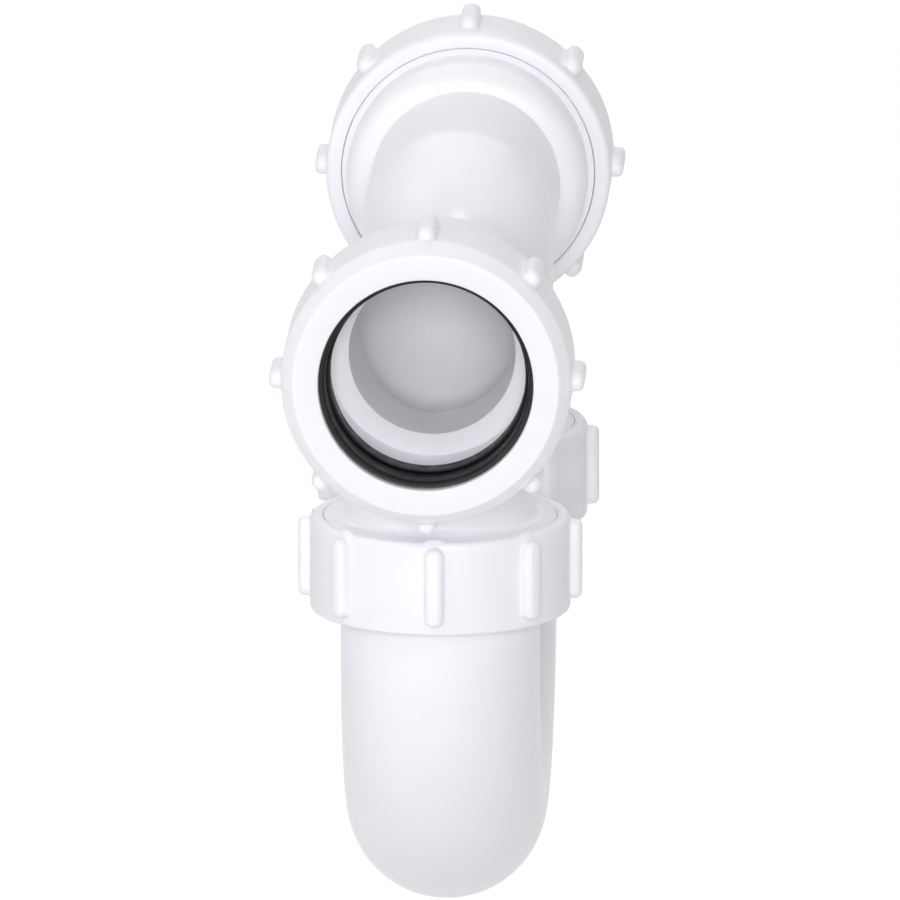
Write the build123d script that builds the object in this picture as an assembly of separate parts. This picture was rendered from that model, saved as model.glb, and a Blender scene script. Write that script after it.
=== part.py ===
from build123d import *

import os
from dataclasses import dataclass
from math import sqrt

# Running trap: a U-bend hung between two knuckle elbows, with compression joints throughout.
# Millimetres, +Z up. Water runs in along +Y. The origin is the middle of the inlet seal's lip, on the pipe axis.

# Elbows, measured from the knuckle, where the level axis and the leg axis cross
elbow_bore = 34.6
elbow_wall = 2.6
level_reach = 44.55  # knuckle to the rim of the end nut
drop_reach = 43.0  # knuckle to the rim of the union nut
bell_length = 11.05  # wide end of the level arm that stays outside its nut
bell_rounding = 5.2
bell_floor = 3.0  # shoulder inside the bell, where the pipe stops
shoulder_floor = 2.4  # shoulder at the foot of the leg, where the U-bend stops
shoulder_fillet = 2.0
collar_width = 1.5  # plain ring at the root of the level thread
collar_edge = 0.3

# U-bend
u_tube_diameter = 41.4
u_tube_wall = 2.25
u_tube_edge = 0.8
leg_spacing = 83.6
water_seal = 77.5  # depth of water held, from the dip up to the weir
end_gap = 0.3  # between the tube's end and the shoulder that stops it

# End joints, for the waste pipe
pipe_diameter = 40.0
lip_clearance = 0.2
widest_pipe = 43.0
pipe_socket_clearance = 0.3
pipe_socket_wall = 3.5
pipe_thread_depth = 1.25
pipe_collar_rise = 1.35
pipe_nut_wall = 3.25
pipe_nut_length = 21.7
pipe_nut_floor = 2.0
pipe_hole_clearance = 0.75  # around the widest pipe, in the nut's floor
pipe_seal_flange = 5.4
pipe_seal_front_edge = 1.5  # rounding that leads the pipe in
pipe_seat_rise = 2.1
pipe_seat_depth = 6.0
pipe_seal_tip = 1.25  # thickness of the seal's tip
pipe_rib_start = 3.9  # from the nut's rim
pipe_rib_length = 14.6
pipe_nose_length = 3.0  # taper at the closed end of the nut
pipe_nose_rise = 2.5

# Union joints, between the elbows and the U-bend
tube_lip_clearance = 0.2
tube_socket_clearance = 0.3
union_socket_wall = 1.9
union_thread_depth = 1.2
union_collar_rise = 1.4
union_nut_wall = 2.65
union_nut_length = 19.7
union_nut_floor = 2.5
union_hole_clearance = 0.4
union_seal_flange = 5.4
union_seal_front_edge = 0.3
union_seat_rise = 1.2
union_seat_depth = 2.4
union_seal_tip = 0.5
union_rib_start = 0.9
union_rib_length = 16.8

# Threads, right-handed
thread_pitch = 3.0
thread_root_width = 1.7  # where the ridge leaves its wall
thread_crest_width = 0.8
thread_margin = 0.4  # plain stretch at each end of a thread
thread_bite = 0.3  # depth to which a ridge is sunk in the wall that carries it
nut_bore_clearance = 0.1  # around the collar
thread_start_angle = 40.0  # where each thread starts, in degrees round its axis

# Seals
seal_clearance = 0.15
seal_edge = 0.3
tip_edge = 0.15
lip_length = 4.5
lip_thickness = 0.45
lip_slot_width = 0.35  # around the lip, so that it can give
lip_slot_depth = 1.5

# Nuts
rib_count = 8
rib_width = 3.9
rib_rise = 2.5
rib_rounding = 1.3
rib_bite = 1.0  # depth to which a rib is sunk in the nut's wall
nut_rim_edge = 1.2
nut_face_edge = 0.6
nose_rounding = 1.5
nut_hole_edge = 0.35
nut_rim_chamfer = 0.5


@dataclass(frozen=True)
class Joint:
    """A compression joint. Lengths run along its axis, from the nut's rim (0) to the nut's closed face."""

    lip_radius: float
    socket_radius: float
    socket_wall: float
    thread_depth: float
    collar_rise: float
    collar_length: float
    nut_wall: float
    nut_length: float
    nut_floor: float
    hole_radius: float
    seal_flange: float
    seal_front_edge: float
    seat_rise: float
    seat_depth: float
    seal_tip: float
    rib_start: float
    rib_length: float
    nose_length: float
    nose_rise: float

    @property
    def root_radius(self):
        return self.socket_radius + self.socket_wall

    @property
    def collar_radius(self):
        return self.root_radius + self.collar_rise

    @property
    def nut_bore(self):
        return self.collar_radius + nut_bore_clearance

    @property
    def nut_radius(self):
        return self.nut_bore + self.nut_wall

    @property
    def floor(self):
        return self.nut_length - self.nut_floor

    @property
    def mouth(self):
        return self.floor - self.seal_flange - 2 * seal_clearance

    @property
    def mouth_radius(self):
        return self.socket_radius + self.seat_rise

    @property
    def seat_taper(self):
        return self.seat_rise / self.seat_depth

    @property
    def cone_radius(self):
        """Radius of the seal's cone in the plane of the mouth, clear of the seat."""
        return self.mouth_radius - seal_clearance * sqrt(1 + self.seat_taper**2)

    @property
    def tip_radius(self):
        return self.lip_radius + self.seal_tip

    @property
    def tip_height(self):
        return self.mouth - (self.cone_radius - self.tip_radius) / self.seat_taper

    @property
    def lip_middle(self):
        return self.tip_height + lip_length / 2

    @property
    def thread_start(self):
        return self.collar_length + thread_margin + thread_root_width / 2

    @property
    def thread_turns(self):
        return (self.mouth - thread_margin - thread_root_width / 2 - self.thread_start) / thread_pitch


pipe_joint = Joint(
    lip_radius=pipe_diameter / 2 + lip_clearance,
    socket_radius=widest_pipe / 2 + pipe_socket_clearance,
    socket_wall=pipe_socket_wall,
    thread_depth=pipe_thread_depth,
    collar_rise=pipe_collar_rise,
    collar_length=collar_width,
    nut_wall=pipe_nut_wall,
    nut_length=pipe_nut_length,
    nut_floor=pipe_nut_floor,
    hole_radius=widest_pipe / 2 + pipe_hole_clearance,
    seal_flange=pipe_seal_flange,
    seal_front_edge=pipe_seal_front_edge,
    seat_rise=pipe_seat_rise,
    seat_depth=pipe_seat_depth,
    seal_tip=pipe_seal_tip,
    rib_start=pipe_rib_start,
    rib_length=pipe_rib_length,
    nose_length=pipe_nose_length,
    nose_rise=pipe_nose_rise,
)
union_joint = Joint(
    lip_radius=u_tube_diameter / 2 + tube_lip_clearance,
    socket_radius=u_tube_diameter / 2 + tube_socket_clearance,
    socket_wall=union_socket_wall,
    thread_depth=union_thread_depth,
    collar_rise=union_collar_rise,
    collar_length=shoulder_floor,
    nut_wall=union_nut_wall,
    nut_length=union_nut_length,
    nut_floor=union_nut_floor,
    hole_radius=u_tube_diameter / 2 + union_hole_clearance,
    seal_flange=union_seal_flange,
    seal_front_edge=union_seal_front_edge,
    seat_rise=union_seat_rise,
    seat_depth=union_seat_depth,
    seal_tip=union_seal_tip,
    rib_start=union_rib_start,
    rib_length=union_rib_length,
    nose_length=0.0,
    nose_rise=0.0,
)

elbow_bore_radius = elbow_bore / 2
elbow_radius = elbow_bore_radius + elbow_wall
u_tube_radius = u_tube_diameter / 2
u_tube_bore_radius = u_tube_radius - u_tube_wall
bend_radius = leg_spacing / 2
bend_drop = water_seal + elbow_bore_radius - bend_radius + u_tube_bore_radius

# Places, from the origin at the inlet seal's lip
inlet_leg = level_reach + pipe_joint.lip_middle
outlet_leg = inlet_leg + leg_spacing


def turned(*corners):
    """A solid turned about Z from corners given as radius, height and rounding."""
    outline = FilletPolyline(
        *[(radius, height) for radius, height, _ in corners],
        radius=[rounding for _, _, rounding in corners],
        close=True,
    )
    return revolve(Plane.XZ * make_face(outline), Axis.Z)


def thread_ridge(wall_radius, rise, turns):
    """A helical ridge about Z that starts at height 0 and rises from its wall, inwards if rise is negative."""
    path = Helix(thread_pitch, thread_pitch * turns, wall_radius)
    sunk = -thread_bite * rise / abs(rise)
    flank_slope = (thread_root_width - thread_crest_width) / abs(rise)
    foot_width = thread_root_width + flank_slope * thread_bite
    outline = Polyline(
        (sunk, -foot_width / 2),
        (rise, -thread_crest_width / 2),
        (rise, thread_crest_width / 2),
        (sunk, foot_width / 2),
        close=True,
    )
    section = Plane(origin=path @ 0, x_dir=(1, 0, 0), z_dir=path % 0) * make_face(outline)
    return Rot(0, 0, thread_start_angle) * sweep(section, path=path, is_frenet=True)


def arm_outside(joint, reach, shoulder_start, shoulder_corner, shoulder_edge):
    """Outside of one elbow arm, solid, along +Z from the knuckle, with its thread."""
    mouth = reach + joint.mouth
    collar_end = reach + joint.collar_length
    body = turned(
        (0, 0, 0),
        (elbow_radius, 0, 0),
        (elbow_radius, shoulder_start, shoulder_corner),
        *shoulder_edge,
        (joint.collar_radius, reach, collar_edge),
        (joint.collar_radius, collar_end, 0),
        (joint.root_radius, collar_end, 0),
        (joint.root_radius, mouth, 0),
        (0, mouth, 0),
    )
    ridge = thread_ridge(joint.root_radius, joint.thread_depth, joint.thread_turns)
    return body + Pos(0, 0, reach + joint.thread_start) * ridge


def arm_bore(joint, reach, stop):
    """Hollow of one elbow arm, along +Z from the knuckle: bore, stop, socket and tapered seat."""
    mouth = reach + joint.mouth
    return turned(
        (0, 0, 0),
        (elbow_bore_radius, 0, 0),
        (elbow_bore_radius, stop, 0),
        (joint.socket_radius, stop, 0),
        (joint.socket_radius, mouth - joint.seat_depth, 0),
        (joint.mouth_radius, mouth, 0),
        (0, mouth, 0),
    )


def elbow():
    """Knuckle elbow with its knuckle at the origin, its level arm along -Y and its leg along -Z."""
    to_level = Rot(90, 0, 0)
    to_leg = Rot(180, 0, 0)
    bell_start = level_reach - bell_length
    bell = [
        (pipe_joint.root_radius, bell_start, bell_rounding),
        (pipe_joint.root_radius, level_reach, 0),
    ]
    level = arm_outside(pipe_joint, level_reach, bell_start, 0, bell)
    leg = arm_outside(union_joint, drop_reach, drop_reach, shoulder_fillet, [])
    outside = Sphere(elbow_radius) + to_level * level + to_leg * leg
    level_bore = arm_bore(pipe_joint, level_reach, bell_start + bell_floor)
    leg_bore = arm_bore(union_joint, drop_reach, drop_reach + shoulder_floor)
    return outside - Sphere(elbow_bore_radius) - to_level * level_bore - to_leg * leg_bore


def nut_rib(joint):
    """One capsule-shaped grip rib on the nut's +X side, sunk a little in the wall."""
    middle = joint.rib_start + joint.rib_length / 2
    base = Plane(origin=(joint.nut_radius - rib_bite, 0, middle), x_dir=(0, 0, 1), z_dir=(1, 0, 0))
    rib = extrude(base * SlotOverall(joint.rib_length, rib_width), rib_bite + rib_rise)
    return fillet(rib.faces().sort_by(Axis.X)[-1].edges(), rib_rounding)


def nut(joint):
    """Ribbed nut about Z, with its rim at height 0 and its floor above."""
    body = turned(
        (joint.nut_bore + nut_rim_chamfer, 0, 0),
        (joint.nut_radius, 0, nut_rim_edge),
        *nut_nose(joint),
        (joint.hole_radius, joint.nut_length, nut_hole_edge),
        (joint.hole_radius, joint.floor, 0),
        (joint.nut_bore, joint.floor, 0),
        (joint.nut_bore, nut_rim_chamfer, 0),
    )
    ribs = [Rot(0, 0, number * 360 / rib_count) * nut_rib(joint) for number in range(rib_count)]
    ridge = thread_ridge(joint.nut_bore, -joint.thread_depth, joint.thread_turns - 1)
    return body + ribs + Pos(0, 0, joint.thread_start + thread_pitch / 2) * ridge


def nut_nose(joint):
    """Corners of the nut's closed end: a taper, or one plain edge where there is no taper."""
    face_edge = (joint.nut_radius - joint.nose_rise, joint.nut_length, nut_face_edge)
    if joint.nose_length == 0:
        return [face_edge]
    return [(joint.nut_radius, joint.nut_length - joint.nose_length, nose_rounding), face_edge]


def seal(joint):
    """Seal about Z, in the place that it takes under its nut, whose rim is at height 0."""
    front = joint.floor - seal_clearance
    back = joint.mouth + seal_clearance
    lip_end = joint.tip_height + lip_length
    slot_floor = lip_end - lip_slot_depth
    lip_outside = joint.lip_radius + lip_thickness
    bore_radius = lip_outside + lip_slot_width
    return turned(
        (joint.lip_radius, joint.tip_height, tip_edge),
        (joint.tip_radius, joint.tip_height, tip_edge),
        (joint.cone_radius + joint.seat_taper * seal_clearance, back, 0),
        (joint.root_radius, back, seal_edge),
        (joint.root_radius, front, seal_edge),
        (bore_radius, front, joint.seal_front_edge),
        (bore_radius, slot_floor, 0),
        (lip_outside, slot_floor, 0),
        (lip_outside, lip_end, tip_edge),
        (joint.lip_radius, lip_end, tip_edge),
    )


def u_bend():
    """Tube with plain ends: two legs along Z and a half turn between them, from the inlet leg at the origin."""
    top = -(drop_reach + shoulder_floor + end_gap)
    leg_length = bend_drop + top
    leg = Cylinder(u_tube_radius, leg_length) - Cylinder(u_tube_bore_radius, leg_length)
    leg = chamfer(leg.edges().group_by(Axis.Z)[-1].sort_by(SortBy.RADIUS)[-1], u_tube_edge)
    leg = Pos(0, 0, top - leg_length / 2) * leg
    start = Plane(origin=(0, 0, -bend_drop), x_dir=(1, 0, 0), z_dir=(0, 0, 1))
    ring = start * (Circle(u_tube_radius) - Circle(u_tube_bore_radius))
    turn_axis = Axis((0, bend_radius, -bend_drop), (1, 0, 0))
    half_turn = revolve(ring, turn_axis, 180)
    return leg + Pos(0, leg_spacing, 0) * leg + half_turn


def build():
    """Every node by name, in place."""
    inlet_knuckle = Pos(0, inlet_leg, 0)
    outlet_knuckle = Pos(0, outlet_leg, 0) * Rot(0, 0, 180)
    end_place = Pos(0, -level_reach, 0) * Rot(90, 0, 0)
    union_place = Pos(0, 0, -drop_reach) * Rot(180, 0, 0)
    nodes = {"u_bend": inlet_knuckle * u_bend()}
    pieces = {
        "elbow": elbow(),
        "nut": end_place * nut(pipe_joint),
        "seal": end_place * seal(pipe_joint),
        "union_nut": union_place * nut(union_joint),
        "union_seal": union_place * seal(union_joint),
    }
    for side, knuckle in (("inlet", inlet_knuckle), ("outlet", outlet_knuckle)):
        for name, piece in pieces.items():
            nodes[f"{side}_{name}"] = knuckle * piece
    return nodes


os.makedirs("parts", exist_ok=True)
for node_name, solid in build().items():
    export_step(solid, f"parts/{node_name}.step")
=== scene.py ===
import math
from dataclasses import dataclass

import bmesh
import bpy
from mathutils import Matrix, Vector


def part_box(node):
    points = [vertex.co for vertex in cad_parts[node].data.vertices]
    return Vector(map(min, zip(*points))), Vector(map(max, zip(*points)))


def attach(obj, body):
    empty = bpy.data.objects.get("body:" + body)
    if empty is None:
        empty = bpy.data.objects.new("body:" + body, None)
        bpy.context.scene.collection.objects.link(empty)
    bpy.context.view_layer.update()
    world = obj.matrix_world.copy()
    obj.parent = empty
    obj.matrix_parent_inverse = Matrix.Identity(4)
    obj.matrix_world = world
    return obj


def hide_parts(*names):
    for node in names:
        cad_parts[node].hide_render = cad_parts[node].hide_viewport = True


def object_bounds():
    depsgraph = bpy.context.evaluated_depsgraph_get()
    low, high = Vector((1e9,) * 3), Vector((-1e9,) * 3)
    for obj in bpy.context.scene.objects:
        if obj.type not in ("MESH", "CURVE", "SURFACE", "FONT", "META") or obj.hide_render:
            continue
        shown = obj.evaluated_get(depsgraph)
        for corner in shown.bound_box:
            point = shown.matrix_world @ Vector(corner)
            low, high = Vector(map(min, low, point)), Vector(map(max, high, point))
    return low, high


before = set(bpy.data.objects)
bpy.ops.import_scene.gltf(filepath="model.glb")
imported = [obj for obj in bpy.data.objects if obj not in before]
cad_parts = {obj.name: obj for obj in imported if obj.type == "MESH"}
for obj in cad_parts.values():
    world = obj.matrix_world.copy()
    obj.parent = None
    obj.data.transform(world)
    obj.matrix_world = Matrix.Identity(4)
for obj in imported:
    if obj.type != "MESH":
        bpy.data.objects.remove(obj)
cad_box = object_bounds()

# Running trap in white moulded plastic, with black rubber seals.
# Metres, in the frame of the solids: the origin is the middle of the inlet seal's lip,
# water runs along +Y and +Z is up.

mm = 0.001

# U-bend
tube_radius = 20.7 * mm
tube_wall = 2.25 * mm
bend_flat = 0.2 * mm  # half the level stretch at the very bottom, between the two quarter turns

# Grip ribs, the same on every nut
rib_count = 8
rib_width = 3.9 * mm
rib_rise = 2.5 * mm
rib_rounding = 1.3 * mm
rib_foot = 0.5 * mm  # hollow that leads from the nut's wall up into the rib's side
rib_foot_turn = math.radians(65)  # how far round that hollow is followed
rib_sink = 0.6 * mm
rib_cap_steps = 14
rib_edge_steps = 6
rib_foot_steps = 4

# Threads inside the nuts, right-handed
thread_pitch = 3.0 * mm
thread_root_width = 1.7 * mm
thread_crest_width = 0.8 * mm
thread_sink = 0.3 * mm
thread_start_angle = math.radians(40)

# Edges of the nuts
rim_edge = 1.2 * mm
rim_chamfer = 0.2 * mm
face_edge = 0.6 * mm
nose_rounding = 1.5 * mm
hole_edge = 0.35 * mm

# Fineness of the meshes
spindle = 1.0 * mm  # radius of the ring that outlines are turned round
turning_steps = 192
corner_steps = 6
bend_steps = 40
tube_steps = 128
thread_steps = 96
smooth_angle = math.radians(32)


@dataclass(frozen=True)
class NutSizes:
    """One size of ribbed nut. Heights run from its open rim (0) to its closed face."""

    radius: float
    bore: float
    hole: float
    length: float
    floor: float
    nose_length: float
    nose_rise: float
    rib_start: float
    rib_length: float
    thread_rise: float
    thread_start: float
    thread_turns: float


end_nut = NutSizes(
    radius=30.0 * mm,
    bore=26.75 * mm,
    hole=22.25 * mm,
    length=21.7 * mm,
    floor=2.0 * mm,
    nose_length=3.0 * mm,
    nose_rise=2.5 * mm,
    rib_start=3.9 * mm,
    rib_length=14.6 * mm,
    thread_rise=1.25 * mm,
    thread_start=4.25 * mm,
    thread_turns=2.333,
)
union_nut = NutSizes(
    radius=27.05 * mm,
    bore=24.4 * mm,
    hole=21.1 * mm,
    length=19.7 * mm,
    floor=2.5 * mm,
    nose_length=0.0,
    nose_rise=0.0,
    rib_start=0.9 * mm,
    rib_length=16.8 * mm,
    thread_rise=1.2 * mm,
    thread_start=5.15 * mm,
    thread_turns=1.2,
)

# Finishes
elbow_white_light = (0.935, 0.946, 0.988, 1.0)
elbow_white_deep = (0.925, 0.936, 0.98, 1.0)
tube_white_light = (0.917, 0.928, 0.975, 1.0)
tube_white_deep = (0.902, 0.914, 0.964, 1.0)
nut_white_light = (0.92, 0.931, 0.978, 1.0)
nut_white_deep = (0.905, 0.917, 0.966, 1.0)
rubber_black = (0.006, 0.006, 0.0065, 1.0)
rubber_bloom = (0.012, 0.012, 0.013, 1.0)
plastic_ior = 1.49
rubber_ior = 1.4
elbow_scatter = (0.25, 4 * mm)  # share of the light that goes into the plastic, and how deep
tube_scatter = (0.2, 4 * mm)
nut_scatter = (0.25, 4 * mm)
even_scatter = (1.0, 1.0, 1.0)  # the same depth for red, green and blue
polished_tone_size = 22 * mm
polished_roughness = (0.29, 0.32)
polished_gloss_size = 14 * mm
polished_relief = ((9 * mm, 0.003 * mm),)  # layers, each as the size of its bumps and their depth
nut_tone_size = 15 * mm
nut_roughness = (0.36, 0.46)
nut_gloss_size = 4 * mm
nut_relief = ((4 * mm, 0.003 * mm), (0.4 * mm, 0.0008 * mm))
rubber_tone_size = 4 * mm
rubber_roughness = (0.38, 0.52)
rubber_gloss_size = 2 * mm
rubber_relief = ((1.2 * mm, 0.004 * mm), (0.25 * mm, 0.002 * mm))
patch_detail = 2.0
relief_detail = 1.0
patch_stops = (0.35, 0.65)  # stretch of a noise's values that is used

# Photograph's view: a long lens on the inlet, from a little to the right and above
view_azimuth = math.radians(2.61)
view_elevation = math.radians(13.5)
view_distance = 8.5
view_width = 186.9 * mm
sensor_width = 36.0  # millimetres, as Blender counts sensors and lenses
view_right_of_knuckle = 2.03 * mm
view_below_knuckle = 28.65 * mm

# Studio
floor_drop = 60 * mm  # the trap hangs this far above the floor
floor_half_width = 4.0
floor_tone = (0.8, 0.8, 0.8, 1.0)  # for the light that it throws back
floor_shadow_tone = (0.7, 0.7, 0.7, 1.0)  # under the glow with which it is seen
floor_glow = 0.51
ambient_strength = 0.25
backdrop_strength = 1.0
white = (1.0, 1.0, 1.0, 1.0)
lamp_distance = 4.0
lamps = (  # name, azimuth and elevation in degrees, size, level
    ("front_key", 2, 14, 0.8, 0.435),
    ("left_fill", -55, 25, 3.5, 0.28),
    ("right_fill", 100, 45, 3.5, 0.05),
    ("back_fill", 180, 58, 4.5, 0.45),
    ("right_spark", 36, 28, 0.3, 0.05),
)


# Node trees


def new_node(tree, kind, settings=None, **inputs):
    """A node of that kind, with its settings and its unlinked inputs."""
    node = tree.nodes.new(kind)
    for name, value in (settings or {}).items():
        setattr(node, name, value)
    for name, value in inputs.items():
        node.inputs[name.replace("_", " ")].default_value = value
    return node


def piece_tree(name, inputs):
    """An empty Geometry Nodes tree with named inputs, given as name and kind of socket."""
    tree = bpy.data.node_groups.new(name, "GeometryNodeTree")
    tree.interface.new_socket("Geometry", in_out="OUTPUT", socket_type="NodeSocketGeometry")
    for input_name, kind in inputs.items():
        tree.interface.new_socket(input_name, in_out="INPUT", socket_type=f"NodeSocket{kind}")
    return tree


def rounded_outline(tree, outline, steps):
    """The corner points of an outline object as a curve, with each corner rounded by its own radius."""
    points = new_node(tree, "GeometryNodeObjectInfo")
    curve = new_node(tree, "GeometryNodeMeshToCurve")
    rounding = new_node(tree, "GeometryNodeInputNamedAttribute", {"data_type": "FLOAT"}, Name="rounding")
    fillet = new_node(tree, "GeometryNodeFilletCurve", {"mode": "POLY"})
    tree.links.new(outline, points.inputs["Object"])
    tree.links.new(points.outputs["Geometry"], curve.inputs["Mesh"])
    tree.links.new(curve.outputs["Curve"], fillet.inputs["Curve"])
    tree.links.new(rounding.outputs["Attribute"], fillet.inputs["Radius"])
    tree.links.new(steps, fillet.inputs["Count"])
    return fillet.outputs["Curve"]


def finish_tree(tree, mesh, plastic):
    """Ends a tree: instances made real, then the material."""
    realise = new_node(tree, "GeometryNodeRealizeInstances")
    paint = new_node(tree, "GeometryNodeSetMaterial")
    result = new_node(tree, "NodeGroupOutput")
    tree.links.new(mesh, realise.inputs["Geometry"])
    tree.links.new(realise.outputs["Geometry"], paint.inputs["Geometry"])
    tree.links.new(plastic, paint.inputs["Material"])
    tree.links.new(paint.outputs["Geometry"], result.inputs["Geometry"])


def ribbed_nut_tree():
    """A nut turned from its outline, with grip ribs round it and a helical ridge in its bore."""
    tree = piece_tree(
        "ribbed_nut",
        {
            "Outline": "Object",
            "Corner steps": "Int",
            "Spindle": "Float",
            "Turning steps": "Int",
            "Rib": "Object",
            "Rib count": "Int",
            "Rib ring": "Float",
            "Ridge outline": "Object",
            "Ridge radius": "Float",
            "Ridge start": "Float",
            "Ridge angle": "Float",
            "Ridge turns": "Float",
            "Ridge height": "Float",
            "Ridge steps": "Int",
            "Plastic": "Material",
        },
    )
    link = tree.links.new
    sizes = new_node(tree, "NodeGroupInput").outputs

    turning = new_node(tree, "GeometryNodeCurvePrimitiveCircle")
    body = new_node(tree, "GeometryNodeCurveToMesh")
    link(sizes["Turning steps"], turning.inputs["Resolution"])
    link(sizes["Spindle"], turning.inputs["Radius"])
    link(turning.outputs["Curve"], body.inputs["Curve"])
    link(rounded_outline(tree, sizes["Outline"], sizes["Corner steps"]), body.inputs["Profile Curve"])

    rib = new_node(tree, "GeometryNodeObjectInfo")
    ring = new_node(tree, "GeometryNodeMeshCircle")
    number = new_node(tree, "GeometryNodeInputIndex")
    rib_spacing = new_node(tree, "ShaderNodeMath", {"operation": "DIVIDE"})
    rib_spacing.inputs[0].default_value = math.tau
    turn_by = new_node(tree, "ShaderNodeMath", {"operation": "MULTIPLY"})
    turn = new_node(tree, "ShaderNodeCombineXYZ")
    ribs = new_node(tree, "GeometryNodeInstanceOnPoints")
    real_ribs = new_node(tree, "GeometryNodeRealizeInstances")
    link(sizes["Rib"], rib.inputs["Object"])
    link(sizes["Rib count"], ring.inputs["Vertices"])
    link(sizes["Rib ring"], ring.inputs["Radius"])
    link(sizes["Rib count"], rib_spacing.inputs[1])
    link(number.outputs["Index"], turn_by.inputs[0])
    link(rib_spacing.outputs["Value"], turn_by.inputs[1])
    link(turn_by.outputs["Value"], turn.inputs["Z"])
    link(ring.outputs["Mesh"], ribs.inputs["Points"])
    link(rib.outputs["Geometry"], ribs.inputs["Instance"])
    link(turn.outputs["Vector"], ribs.inputs["Rotation"])
    link(ribs.outputs["Instances"], real_ribs.inputs["Geometry"])

    ridge_points = new_node(tree, "GeometryNodeObjectInfo")
    ridge_section = new_node(tree, "GeometryNodeMeshToCurve")
    helix = new_node(tree, "GeometryNodeCurveSpiral", Reverse=True)
    upright = new_node(tree, "GeometryNodeSetCurveNormal", {"mode": "Z_UP"})
    ridge = new_node(tree, "GeometryNodeCurveToMesh", Fill_Caps=True)
    lift = new_node(tree, "ShaderNodeCombineXYZ")
    start = new_node(tree, "ShaderNodeCombineXYZ")
    placed_ridge = new_node(tree, "GeometryNodeTransform")
    link(sizes["Ridge outline"], ridge_points.inputs["Object"])
    link(ridge_points.outputs["Geometry"], ridge_section.inputs["Mesh"])
    link(sizes["Ridge steps"], helix.inputs["Resolution"])
    link(sizes["Ridge turns"], helix.inputs["Rotations"])
    link(sizes["Ridge radius"], helix.inputs["Start Radius"])
    link(sizes["Ridge radius"], helix.inputs["End Radius"])
    link(sizes["Ridge height"], helix.inputs["Height"])
    link(helix.outputs["Curve"], upright.inputs["Curve"])
    link(upright.outputs["Curve"], ridge.inputs["Curve"])
    link(ridge_section.outputs["Curve"], ridge.inputs["Profile Curve"])
    link(sizes["Ridge start"], lift.inputs["Z"])
    link(sizes["Ridge angle"], start.inputs["Z"])
    link(ridge.outputs["Mesh"], placed_ridge.inputs["Geometry"])
    link(lift.outputs["Vector"], placed_ridge.inputs["Translation"])
    link(start.outputs["Vector"], placed_ridge.inputs["Rotation"])

    moulding = new_node(tree, "GeometryNodeMeshBoolean", {"operation": "UNION", "solver": "MANIFOLD"})
    link(body.outputs["Mesh"], moulding.inputs["Mesh 2"])
    link(real_ribs.outputs["Geometry"], moulding.inputs["Mesh 2"])
    link(placed_ridge.outputs["Geometry"], moulding.inputs["Mesh 2"])
    finish_tree(tree, moulding.outputs["Mesh"], sizes["Plastic"])
    return tree


def bent_tube_tree():
    """The skin of a tube that follows a path with rounded corners."""
    tree = piece_tree(
        "bent_tube",
        {
            "Path": "Object",
            "Bend steps": "Int",
            "Tube radius": "Float",
            "Tube steps": "Int",
            "Plastic": "Material",
        },
    )
    link = tree.links.new
    sizes = new_node(tree, "NodeGroupInput").outputs
    section = new_node(tree, "GeometryNodeCurvePrimitiveCircle")
    skin = new_node(tree, "GeometryNodeCurveToMesh")
    link(sizes["Tube steps"], section.inputs["Resolution"])
    link(sizes["Tube radius"], section.inputs["Radius"])
    link(rounded_outline(tree, sizes["Path"], sizes["Bend steps"]), skin.inputs["Curve"])
    link(section.outputs["Curve"], skin.inputs["Profile Curve"])
    finish_tree(tree, skin.outputs["Mesh"], sizes["Plastic"])
    return tree


# Outlines and pieces


def corner_points(name, points, closed):
    """An outline as an object of points joined in order, each given as position and rounding."""
    mesh = bpy.data.meshes.new(name)
    edges = [(number, number + 1) for number in range(len(points) - 1)]
    if closed:
        edges.append((len(points) - 1, 0))
    mesh.from_pydata([position for position, _ in points], edges, [])
    rounding = mesh.attributes.new("rounding", "FLOAT", "POINT")
    rounding.data.foreach_set("value", [radius for _, radius in points])
    return bpy.data.objects.new(name, mesh)


def nut_outline(name, nut):
    """Half section of a nut, as radius from the spindle and depth below the rim."""
    corners = [
        (nut.bore + rim_chamfer, 0, 0),
        (nut.radius, 0, rim_edge),
    ]
    if nut.nose_length > 0:
        corners.append((nut.radius, nut.length - nut.nose_length, nose_rounding))
    corners += [
        (nut.radius - nut.nose_rise, nut.length, face_edge),
        (nut.hole, nut.length, hole_edge),
        (nut.hole, nut.length - nut.floor, 0),
        (nut.bore, nut.length - nut.floor, 0),
        (nut.bore, rim_chamfer, 0),
    ]
    points = [((radius - spindle, -height, 0), rounding) for radius, height, rounding in reversed(corners)]
    return corner_points(name, points, closed=True)


def ridge_outline(name, nut):
    """Section of the thread's ridge, which stands inwards from the nut's bore."""
    section = [
        (thread_sink, thread_root_width / 2),
        (0, thread_root_width / 2),
        (-nut.thread_rise, thread_crest_width / 2),
        (-nut.thread_rise, -thread_crest_width / 2),
        (0, -thread_root_width / 2),
        (thread_sink, -thread_root_width / 2),
    ]
    return corner_points(name, [((across, along, 0), 0) for across, along in section], closed=True)


def rib_rings():
    """Section of a rib from its sunk foot to its crown, as distance from its middle line and height."""
    half = rib_width / 2
    rings = []
    for step in range(rib_foot_steps + 1):
        angle = rib_foot_turn * (1 - step / rib_foot_steps)
        rings.append((half + rib_foot * (1 - math.cos(angle)), rib_foot * (1 - math.sin(angle))))
    lowest_out, lowest = rings[0]
    run = (lowest + rib_sink) * math.tan(rib_foot_turn)
    rings.insert(0, (lowest_out + run, -rib_sink))
    for step in range(rib_edge_steps + 1):
        angle = math.pi / 2 * step / rib_edge_steps
        out = half - rib_rounding * (1 - math.cos(angle))
        rings.append((out, rib_rise - rib_rounding * (1 - math.sin(angle))))
    return rings


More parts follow.
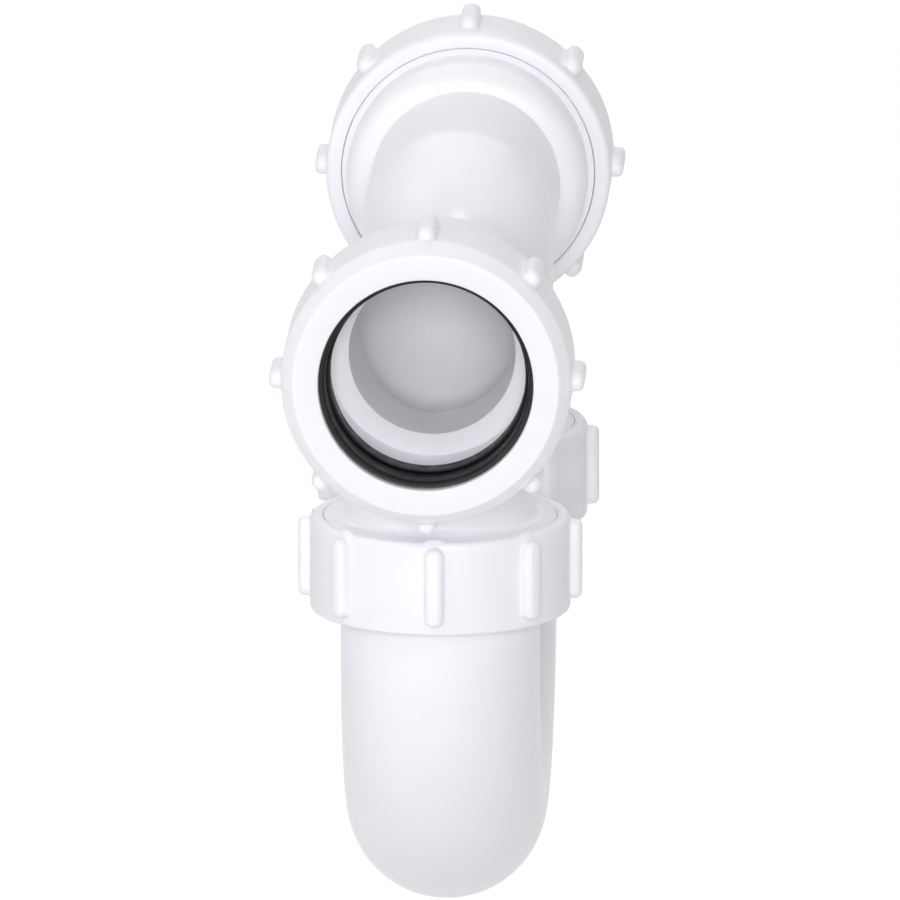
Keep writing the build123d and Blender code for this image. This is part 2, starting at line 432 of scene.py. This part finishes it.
def rib_shape(name, nut):
    """One capsule-shaped grip rib on a nut's +X side, its foot bent to the wall and closed underneath."""
    spine = (nut.rib_length - rib_width) / 2
    middle = nut.rib_start + nut.rib_length / 2
    shape = bmesh.new()
    loops = []
    for out, height in rib_rings():
        loop = []
        for end in (1, -1):
            for step in range(rib_cap_steps + 1):
                angle = math.pi * step / rib_cap_steps
                across = end * out * math.cos(angle)
                along = end * (spine + out * math.sin(angle))
                bend = math.sqrt(nut.radius**2 - across**2) - nut.radius
                loop.append(shape.verts.new((height + bend, across, middle + along)))
        loops.append(loop)
    for lower, upper in zip(loops, loops[1:]):
        for number in range(len(lower)):
            after = (number + 1) % len(lower)
            shape.faces.new((lower[number], lower[after], upper[after], upper[number]))
    shape.faces.new(list(reversed(loops[0])))
    shape.faces.new(loops[-1])
    bmesh.ops.recalc_face_normals(shape, faces=shape.faces)
    mesh = bpy.data.meshes.new(name)
    shape.to_mesh(mesh)
    shape.free()
    return bpy.data.objects.new(name, mesh)


def tree_mesh(name, tree, sizes, wall=0.0):
    """The plain mesh that a tree gives for those sizes. A skin can get a wall of some thickness inwards."""
    host = bpy.data.objects.new(name, bpy.data.meshes.new(name))
    bpy.context.scene.collection.objects.link(host)
    modifier = host.modifiers.new(tree.name, "NODES")
    modifier.node_group = tree
    for socket in tree.interface.items_tree:
        if socket.in_out == "INPUT":
            modifier[socket.identifier] = sizes[socket.name]
    if wall > 0:
        thickness = host.modifiers.new("wall", "SOLIDIFY")
        thickness.thickness = wall
        thickness.offset = -1  # all of it inwards
    evaluated = host.evaluated_get(bpy.context.evaluated_depsgraph_get())
    mesh = bpy.data.meshes.new_from_object(evaluated)
    bpy.data.objects.remove(host)
    mesh.name = name
    mesh.shade_smooth()
    mesh.set_sharp_from_angle(angle=smooth_angle)
    return mesh


def fit_piece(name, mesh, node):
    """A piece that stands for a CAD node and moves with that node's body."""
    piece = bpy.data.objects.new(name, mesh)
    bpy.context.scene.collection.objects.link(piece)
    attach(piece, node)
    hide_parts(node)


def fit_nut(tree, nut, node, place, plastic):
    """One ribbed nut, made about +Z with its rim at height 0 and put in its place."""
    sizes = {
        "Outline": nut_outline(f"{node}_outline", nut),
        "Corner steps": corner_steps,
        "Spindle": spindle,
        "Turning steps": turning_steps,
        "Rib": rib_shape(f"{node}_rib", nut),
        "Rib count": rib_count,
        "Rib ring": nut.radius,
        "Ridge outline": ridge_outline(f"{node}_ridge", nut),
        "Ridge radius": nut.bore,
        "Ridge start": nut.thread_start,
        "Ridge angle": thread_start_angle,
        "Ridge turns": nut.thread_turns,
        "Ridge height": nut.thread_turns * thread_pitch,
        "Ridge steps": thread_steps,
        "Plastic": plastic,
    }
    mesh = tree_mesh(f"{node}_moulding", tree, sizes)
    mesh.transform(place)
    fit_piece(f"{node}_moulding", mesh, node)


def fit_nuts(plastic):
    """The two end nuts and the two union nuts, each where its solid is."""
    tree = ribbed_nut_tree()
    quarter = Matrix.Rotation(math.pi / 2, 4, "X")
    half_about_x = Matrix.Rotation(math.pi, 4, "X")
    half_about_z = Matrix.Rotation(math.pi, 4, "Z")
    for side in ("inlet", "outlet"):
        low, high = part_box(f"{side}_nut")
        middle = (low + high) / 2
        facing = quarter if side == "inlet" else half_about_z @ quarter
        rim = high.y if side == "inlet" else low.y
        place = Matrix.Translation((middle.x, rim, middle.z)) @ facing
        fit_nut(tree, end_nut, f"{side}_nut", place, plastic)

        low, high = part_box(f"{side}_union_nut")
        middle = (low + high) / 2
        facing = half_about_x if side == "inlet" else half_about_z @ half_about_x
        place = Matrix.Translation((middle.x, middle.y, high.z)) @ facing
        fit_nut(tree, union_nut, f"{side}_union_nut", place, plastic)


def fit_u_bend(plastic):
    """The U-bend: a tube down one leg, round the half turn and up the other leg."""
    low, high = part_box("u_bend")
    inlet_leg = low.y + tube_radius
    outlet_leg = high.y - tube_radius
    foot = low.z + tube_radius
    bend = (outlet_leg - inlet_leg) / 2 - bend_flat
    corners = [
        ((0, inlet_leg, high.z), 0),
        ((0, inlet_leg, foot), bend),
        ((0, outlet_leg, foot), bend),
        ((0, outlet_leg, high.z), 0),
    ]
    sizes = {
        "Path": corner_points("u_bend_path", corners, closed=False),
        "Bend steps": bend_steps,
        "Tube radius": tube_radius,
        "Tube steps": tube_steps,
        "Plastic": plastic,
    }
    mesh = tree_mesh("u_bend_moulding", bent_tube_tree(), sizes, wall=tube_wall)
    fit_piece("u_bend_moulding", mesh, "u_bend")


# Materials


def add_tones(tree, place, shader, tones, patch_size):
    """Base colour that drifts in soft patches between two close tones."""
    patches = new_node(tree, "ShaderNodeTexNoise", Scale=1 / patch_size, Detail=patch_detail)
    ramp = new_node(tree, "ShaderNodeValToRGB")
    for stop, position, tone in zip(ramp.color_ramp.elements, patch_stops, tones):
        stop.position = position
        stop.color = tone
    tree.links.new(place, patches.inputs["Vector"])
    tree.links.new(patches.outputs["Fac"], ramp.inputs["Fac"])
    tree.links.new(ramp.outputs["Color"], shader.inputs["Base Color"])


def add_gloss(tree, place, shader, roughness, patch_size):
    """Roughness that wanders between two values."""
    patches = new_node(tree, "ShaderNodeTexNoise", Scale=1 / patch_size, Detail=patch_detail)
    spread = new_node(tree, "ShaderNodeMapRange")
    for name, value in zip(("From Min", "From Max", "To Min", "To Max"), (*patch_stops, *roughness)):
        spread.inputs[name].default_value = value
    tree.links.new(place, patches.inputs["Vector"])
    tree.links.new(patches.outputs["Fac"], spread.inputs["Value"])
    tree.links.new(spread.outputs["Result"], shader.inputs["Roughness"])


def add_relief(tree, place, shader, layers):
    """Fine relief in layers, each given as the size of its bumps and their depth."""
    normal = None
    for size, depth in layers:
        bumps = new_node(tree, "ShaderNodeTexNoise", Scale=1 / size, Detail=relief_detail)
        relief = new_node(tree, "ShaderNodeBump", Distance=depth)
        tree.links.new(place, bumps.inputs["Vector"])
        tree.links.new(bumps.outputs["Fac"], relief.inputs["Height"])
        if normal:
            tree.links.new(normal, relief.inputs["Normal"])
        normal = relief.outputs["Normal"]
    tree.links.new(normal, shader.inputs["Normal"])


def moulded_finish(name, tones, tone_size, roughness, gloss_size, relief, constants):
    """A moulded material with drifting tone, uneven gloss and fine relief."""
    material = bpy.data.materials.new(name)
    material.use_nodes = True
    tree = material.node_tree
    shader = tree.nodes["Principled BSDF"]
    place = new_node(tree, "ShaderNodeTexCoord").outputs["Object"]
    add_tones(tree, place, shader, tones, tone_size)
    add_gloss(tree, place, shader, roughness, gloss_size)
    add_relief(tree, place, shader, relief)
    for socket, value in constants.items():
        shader.inputs[socket].default_value = value
    return material


def milky(share, depth):
    """Constants of a plastic that lets a share of the light in to that depth."""
    return {
        "IOR": plastic_ior,
        "Subsurface Weight": share,
        "Subsurface Scale": depth,
        "Subsurface Radius": even_scatter,
    }


def polished_plastic(name, tones, scatter):
    """White plastic from a polished mould, as the elbows and the tube have it."""
    return moulded_finish(
        name,
        tones=tones,
        tone_size=polished_tone_size,
        roughness=polished_roughness,
        gloss_size=polished_gloss_size,
        relief=polished_relief,
        constants=milky(*scatter),
    )


def paint_node(node, material):
    """Gives a CAD node a better material."""
    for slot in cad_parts[node].material_slots:
        slot.material = material


# Studio


def direction(azimuth, elevation):
    """From the object towards that bearing. Azimuth 0 is in front, on the -Y side, and 90 is on +X."""
    flat = math.cos(elevation)
    return Vector((math.sin(azimuth) * flat, -math.cos(azimuth) * flat, math.sin(elevation)))


def seen_directly(tree):
    """One for rays that show the surface itself: from the camera, in gloss and through glass."""
    path = new_node(tree, "ShaderNodeLightPath")
    in_gloss = new_node(tree, "ShaderNodeMath", {"operation": "MAXIMUM"})
    in_all = new_node(tree, "ShaderNodeMath", {"operation": "MAXIMUM"})
    tree.links.new(path.outputs["Is Camera Ray"], in_gloss.inputs[0])
    tree.links.new(path.outputs["Is Glossy Ray"], in_gloss.inputs[1])
    tree.links.new(in_gloss.outputs["Value"], in_all.inputs[0])
    tree.links.new(path.outputs["Is Transmission Ray"], in_all.inputs[1])
    return in_all.outputs["Value"]


def set_world():
    """Even soft light from all round, seen as plain white."""
    world = bpy.data.worlds.new("white_studio")
    world.use_nodes = True
    bpy.context.scene.world = world
    tree = world.node_tree
    ambient = tree.nodes["Background"]
    ambient.inputs["Color"].default_value = white
    ambient.inputs["Strength"].default_value = ambient_strength
    backdrop = new_node(tree, "ShaderNodeBackground", Color=white, Strength=backdrop_strength)
    mix = new_node(tree, "ShaderNodeMixShader")
    tree.links.new(seen_directly(tree), mix.inputs["Fac"])
    tree.links.new(ambient.outputs["Background"], mix.inputs[1])
    tree.links.new(backdrop.outputs["Background"], mix.inputs[2])
    tree.links.new(mix.outputs["Shader"], tree.nodes["World Output"].inputs["Surface"])


def floor_finish():
    """Matt white floor that is seen as white, with the object's shadow left on it."""
    material = bpy.data.materials.new("white_floor")
    material.use_nodes = True
    tree = material.node_tree
    tree.nodes.remove(tree.nodes["Principled BSDF"])
    matt = new_node(tree, "ShaderNodeBsdfDiffuse", Color=floor_tone)
    shadowed = new_node(tree, "ShaderNodeBsdfDiffuse", Color=floor_shadow_tone)
    glow = new_node(tree, "ShaderNodeEmission", Color=white, Strength=floor_glow)
    lit = new_node(tree, "ShaderNodeAddShader")
    mix = new_node(tree, "ShaderNodeMixShader")
    tree.links.new(shadowed.outputs["BSDF"], lit.inputs[0])
    tree.links.new(glow.outputs["Emission"], lit.inputs[1])
    tree.links.new(seen_directly(tree), mix.inputs["Fac"])
    tree.links.new(matt.outputs["BSDF"], mix.inputs[1])
    tree.links.new(lit.outputs["Shader"], mix.inputs[2])
    tree.links.new(mix.outputs["Shader"], tree.nodes["Material Output"].inputs["Surface"])
    return material


def lay_floor():
    """A plain floor under the hanging trap."""
    height = cad_box[0].z - floor_drop
    sides = ((-1, -1), (1, -1), (1, 1), (-1, 1))
    corners = [(x * floor_half_width, y * floor_half_width, height) for x, y in sides]
    mesh = bpy.data.meshes.new("floor")
    mesh.from_pydata(corners, [], [range(len(corners))])
    mesh.materials.append(floor_finish())
    floor = bpy.data.objects.new("floor", mesh)
    bpy.context.scene.collection.objects.link(floor)


def hang_lamp(name, azimuth, elevation, size, level):
    """A square soft lamp aimed at the object. Its level is what it adds to a white surface facing it."""
    light = bpy.data.lights.new(name, "AREA")
    light.size = size
    light.energy = level * (math.pi * lamp_distance) ** 2
    lamp = bpy.data.objects.new(name, light)
    towards = direction(math.radians(azimuth), math.radians(elevation))
    lamp.location = (cad_box[0] + cad_box[1]) / 2 + towards * lamp_distance
    lamp.rotation_mode = "QUATERNION"
    lamp.rotation_quaternion = towards.to_track_quat("Z", "Y")
    bpy.context.scene.collection.objects.link(lamp)


def set_camera():
    """The photograph's view, set from the knuckle of the inlet elbow."""
    towards = direction(view_azimuth, view_elevation)
    turn = towards.to_track_quat("Z", "Y")
    leg_low, leg_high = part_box("inlet_union_nut")
    knuckle = Vector((0, (leg_low.y + leg_high.y) / 2, 0))
    aim = knuckle + turn @ Vector((view_right_of_knuckle, -view_below_knuckle, 0))
    lens = bpy.data.cameras.new("photograph_view")
    lens.sensor_width = sensor_width
    lens.lens = sensor_width * view_distance / view_width
    lens.clip_end = 2 * view_distance  # past the far edge of the floor
    camera = bpy.data.objects.new("photograph_view", lens)
    camera.location = aim + towards * view_distance
    camera.rotation_mode = "QUATERNION"
    camera.rotation_quaternion = turn
    bpy.context.scene.collection.objects.link(camera)
    bpy.context.scene.camera = camera


# The trap in its studio


elbow_plastic = polished_plastic(
    "white_elbow_plastic",
    tones=(elbow_white_deep, elbow_white_light),
    scatter=elbow_scatter,
)
tube_plastic = polished_plastic(
    "white_tube_plastic",
    tones=(tube_white_deep, tube_white_light),
    scatter=tube_scatter,
)
nut_plastic = moulded_finish(
    "white_nut_plastic",
    tones=(nut_white_deep, nut_white_light),
    tone_size=nut_tone_size,
    roughness=nut_roughness,
    gloss_size=nut_gloss_size,
    relief=nut_relief,
    constants=milky(*nut_scatter),
)
seal_rubber = moulded_finish(
    "black_seal_rubber",
    tones=(rubber_black, rubber_bloom),
    tone_size=rubber_tone_size,
    roughness=rubber_roughness,
    gloss_size=rubber_gloss_size,
    relief=rubber_relief,
    constants={"IOR": rubber_ior},
)
fit_nuts(nut_plastic)
fit_u_bend(tube_plastic)
for side in ("inlet", "outlet"):
    paint_node(f"{side}_elbow", elbow_plastic)
    paint_node(f"{side}_seal", seal_rubber)
    paint_node(f"{side}_union_seal", seal_rubber)

set_world()
lay_floor()
for lamp in lamps:
    hang_lamp(*lamp)
set_camera()
bpy.context.scene.view_settings.view_transform = "Standard"
